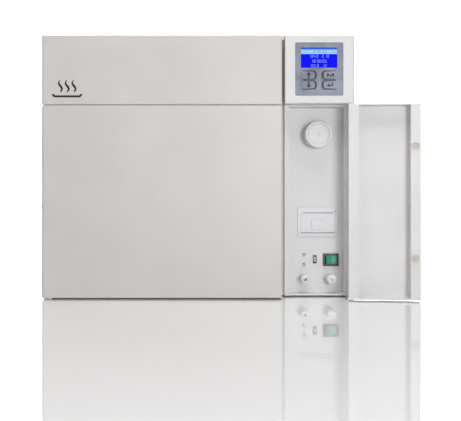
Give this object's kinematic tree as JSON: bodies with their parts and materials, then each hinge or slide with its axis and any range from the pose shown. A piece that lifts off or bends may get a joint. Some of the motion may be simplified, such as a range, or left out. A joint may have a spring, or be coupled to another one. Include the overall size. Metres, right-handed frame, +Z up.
{
  "type": "benchtop autoclave",
  "caption": "Boxy benchtop steam steriliser with a wide front door, a display module, and an open side door over a service bay with filter, printer and couplings.",
  "frame": {"origin": "on the bench, under the middle of the whole object's box with its service door open", "axes": "+Z up, -Y towards the operator, +X to the operator's right"},
  "size_m": [0.6114, 0.6641, 0.43],
  "materials": {
    "panel_paint": "smooth warm light-grey enamel",
    "moulding": "satin light-grey moulding",
    "bezel_metal": "blue-grey satin plate",
    "key_film": "blue-grey key caps",
    "lcd": "lit blue liquid-crystal screen",
    "printer_plastic": "cool white moulding",
    "paper": "thermal paper roll",
    "lamp": "smoked lamp lenses",
    "steel": "plain steel",
    "zinc": "zinc-plated sheet",
    "stainless": "satin stainless",
    "silicone": "translucent white silicone",
    "rubber": "black rubber",
    "bumper": "beige ring with a grey centre",
    "black_plastic": "black nylon",
    "rocker_green": "green translucent rocker",
    "coupling": "white acetal",
    "wool": "mineral wool",
    "heater": "foil-faced band",
    "tank": "natural polyethylene",
    "board": "green circuit board",
    "brass": "machined brass",
    "aluminium": "plain aluminium",
    "pump": "dark grey enamel"
  },
  "bodies": {
    "casing": {"band_heaters": "heater", "base_chassis": "zinc", "chamber_cradles": "zinc", "chamber_insulation": "wool", "condenser": "aluminium", "control_board": "board", "cover_screws": "steel", "display_bezel": "bezel_metal", "display_board": "board", "display_housing": "moulding", "door_hinge_brackets": "steel", "drain_coupling": "coupling", "fan_housing": "black_plastic", "fill_coupling": "coupling", "filter_holder": "coupling", "flange_bolts": "steel", "front_fascia": "panel_paint", "front_frame": "zinc", "indicator_lamps": "lamp", "lcd_screen": "lcd", "lock_actuator": "black_plastic", "mains_inlet": "black_plastic", "power_supply": "aluminium", "pressure_chamber": "stainless", "printer_body": "printer_plastic", "rear_panel": "panel_paint", "rubber_feet": "rubber", "safety_valve": "brass", "service_frame": "moulding", "service_hinge_pins": "steel", "steam_generator": "brass", "switch_housing": "black_plastic", "top_cover": "panel_paint", "tray_rack": "stainless", "trays": "stainless", "usb_port": "black_plastic", "vacuum_pump": "pump", "valve_block": "brass", "water_pump": "black_plastic", "water_tanks": "tank"},
    "chamber_door": {"chamber_door_cover": "panel_paint", "door_frame": "zinc", "pressure_plate": "stainless", "door_gasket": "silicone"},
    "service_door": {"service_door": "moulding", "door_bumpers": "bumper"},
    "key_up": {"key_up": "key_film"},
    "key_menu": {"key_menu": "key_film"},
    "key_down": {"key_down": "key_film"},
    "key_enter": {"key_enter": "key_film"},
    "rocker": {"rocker_switch": "rocker_green"},
    "filter_cap": {"filter_cap": "moulding"},
    "printer_cover": {"printer_cover": "printer_plastic"},
    "printer_latch": {"printer_latch": "printer_plastic"},
    "paper_roll": {"paper_roll": "paper"},
    "fill_poppet": {"fill_poppet": "coupling"},
    "drain_poppet": {"drain_poppet": "coupling"},
    "lock_bolt": {"door_lock_bolt": "steel"},
    "fan_rotor": {"fan_rotor": "black_plastic"},
    "tank_lid": {"tank_lid": "moulding"}
  },
  "joints": [
    {"name": "chamber_door_hinge", "type": "hinge", "parent": "casing", "child": "chamber_door", "pos_m": [-0.2956, -0.298, 0.16], "axis": [0, 0, -1], "range_deg": [0, 110]},
    {"name": "service_door_hinge", "type": "hinge", "parent": "casing", "child": "service_door", "pos_m": [0.1972, -0.303, 0.16], "axis": [0, 0, 1], "range_deg": [-174.6, 0]},
    {"name": "key_up_press", "type": "slide", "parent": "casing", "child": "key_up", "axis": [0, 1, 0], "range_m": [0, 0.0005], "stiffness_N_per_m": 900},
    {"name": "key_menu_press", "type": "slide", "parent": "casing", "child": "key_menu", "axis": [0, 1, 0], "range_m": [0, 0.0005], "stiffness_N_per_m": 900},
    {"name": "key_down_press", "type": "slide", "parent": "casing", "child": "key_down", "axis": [0, 1, 0], "range_m": [0, 0.0005], "stiffness_N_per_m": 900},
    {"name": "key_enter_press", "type": "slide", "parent": "casing", "child": "key_enter", "axis": [0, 1, 0], "range_m": [0, 0.0005], "stiffness_N_per_m": 900},
    {"name": "rocker_tilt", "type": "hinge", "parent": "casing", "child": "rocker", "pos_m": [0.1724, -0.259, 0.0595], "axis": [0, 0, 1], "range_deg": [-16, 0]},
    {"name": "filter_cap_turn", "type": "hinge", "parent": "casing", "child": "filter_cap", "pos_m": [0.1479, -0.278, 0.2697], "axis": [0, -1, 0], "range_deg": [0, 90]},
    {"name": "printer_cover_hinge", "type": "hinge", "parent": "casing", "child": "printer_cover", "pos_m": [0.1504, -0.2634, 0.1064], "axis": [1, 0, 0], "range_deg": [0, 75]},
    {"name": "printer_latch_press", "type": "slide", "parent": "printer_cover", "child": "printer_latch", "axis": [0, 1, 0], "range_m": [0, 0.001], "stiffness_N_per_m": 500},
    {"name": "paper_roll_turn", "type": "hinge", "parent": "casing", "child": "paper_roll", "pos_m": [0.1504, -0.232, 0.124], "axis": [1, 0, 0], "continuous": true},
    {"name": "fill_poppet_push", "type": "slide", "parent": "casing", "child": "fill_poppet", "axis": [0, 1, 0], "range_m": [0, 0.003], "stiffness_N_per_m": 300},
    {"name": "drain_poppet_push", "type": "slide", "parent": "casing", "child": "drain_poppet", "axis": [0, 1, 0], "range_m": [0, 0.003], "stiffness_N_per_m": 300},
    {"name": "lock_bolt_slide", "type": "slide", "parent": "casing", "child": "lock_bolt", "axis": [0, 0, -1], "range_m": [0, 0.012]},
    {"name": "fan_spin", "type": "hinge", "parent": "casing", "child": "fan_rotor", "pos_m": [0.1194, 0.306, 0.28], "axis": [0, 1, 0], "continuous": true},
    {"name": "tank_lid_lift", "type": "slide", "parent": "casing", "child": "tank_lid", "axis": [0, 0, 1], "range_m": [0, 0.06]}
  ]
}
